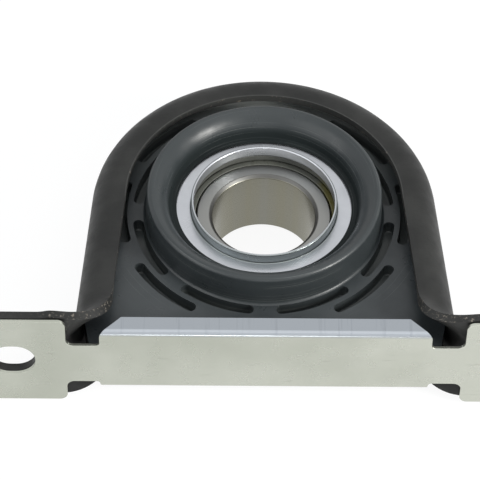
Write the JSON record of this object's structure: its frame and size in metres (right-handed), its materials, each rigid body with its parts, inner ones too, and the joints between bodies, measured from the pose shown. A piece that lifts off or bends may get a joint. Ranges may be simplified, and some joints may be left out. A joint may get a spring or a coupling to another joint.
{
  "type": "driveshaft centre bearing",
  "caption": "Driveshaft centre bearing: a ball bearing in a slotted rubber cushion, held by an arched steel bracket on a folded base plate with slotted bolt ears.",
  "frame": {"origin": "middle of the base plate's mounting face", "axes": "+X along the base, +Y from the mounting face up to the top of the arch, +Z along the bearing's axis towards the open collar"},
  "size_m": [0.23, 0.137, 0.049],
  "materials": {
    "zinc_sheet": "zinc plated sheet, pale",
    "black_coated_steel": "satin black dip coating",
    "moulded_rubber": "satin moulded rubber",
    "bright_zinc": "bright zinc plate",
    "oiled_felt": "oiled felt",
    "ground_steel": "ground bearing steel",
    "nitrile": "greased seal rubber",
    "cage_steel": "pressed steel",
    "ball_steel": "polished"
  },
  "bodies": {
    "housing": {"base_plate": "zinc_sheet", "bracket": "black_coated_steel", "rubber_cushion": "moulded_rubber", "bearing_cup": "bright_zinc", "felt_seal": "oiled_felt", "rear_shield": "bright_zinc", "outer_ring": "ground_steel", "front_seal": "nitrile", "rear_seal": "nitrile"},
    "inner_race": {"inner_ring": "ground_steel"},
    "cage_and_balls": {"cage_front": "cage_steel", "cage_rear": "cage_steel", "cage_rivet_1": "cage_steel", "cage_rivet_2": "cage_steel", "cage_rivet_3": "cage_steel", "cage_rivet_4": "cage_steel", "cage_rivet_5": "cage_steel", "cage_rivet_6": "cage_steel", "cage_rivet_7": "cage_steel", "cage_rivet_8": "cage_steel", "cage_rivet_9": "cage_steel", "ball_1": "ball_steel", "ball_2": "ball_steel", "ball_3": "ball_steel", "ball_4": "ball_steel", "ball_5": "ball_steel", "ball_6": "ball_steel", "ball_7": "ball_steel", "ball_8": "ball_steel", "ball_9": "ball_steel"}
  },
  "joints": [
    {"name": "inner_ring_spin", "type": "hinge", "parent": "housing", "child": "inner_race", "pos_m": [0, 0.07, -0.005], "axis": [0, 0, 1], "continuous": true},
    {"name": "cage_spin", "type": "hinge", "parent": "housing", "child": "cage_and_balls", "pos_m": [0, 0.07, -0.005], "axis": [0, 0, 1], "continuous": true}
  ],
  "couplings": [
    {"joint": "cage_spin", "follows": "inner_ring_spin", "ratio": 0.4015}
  ]
}
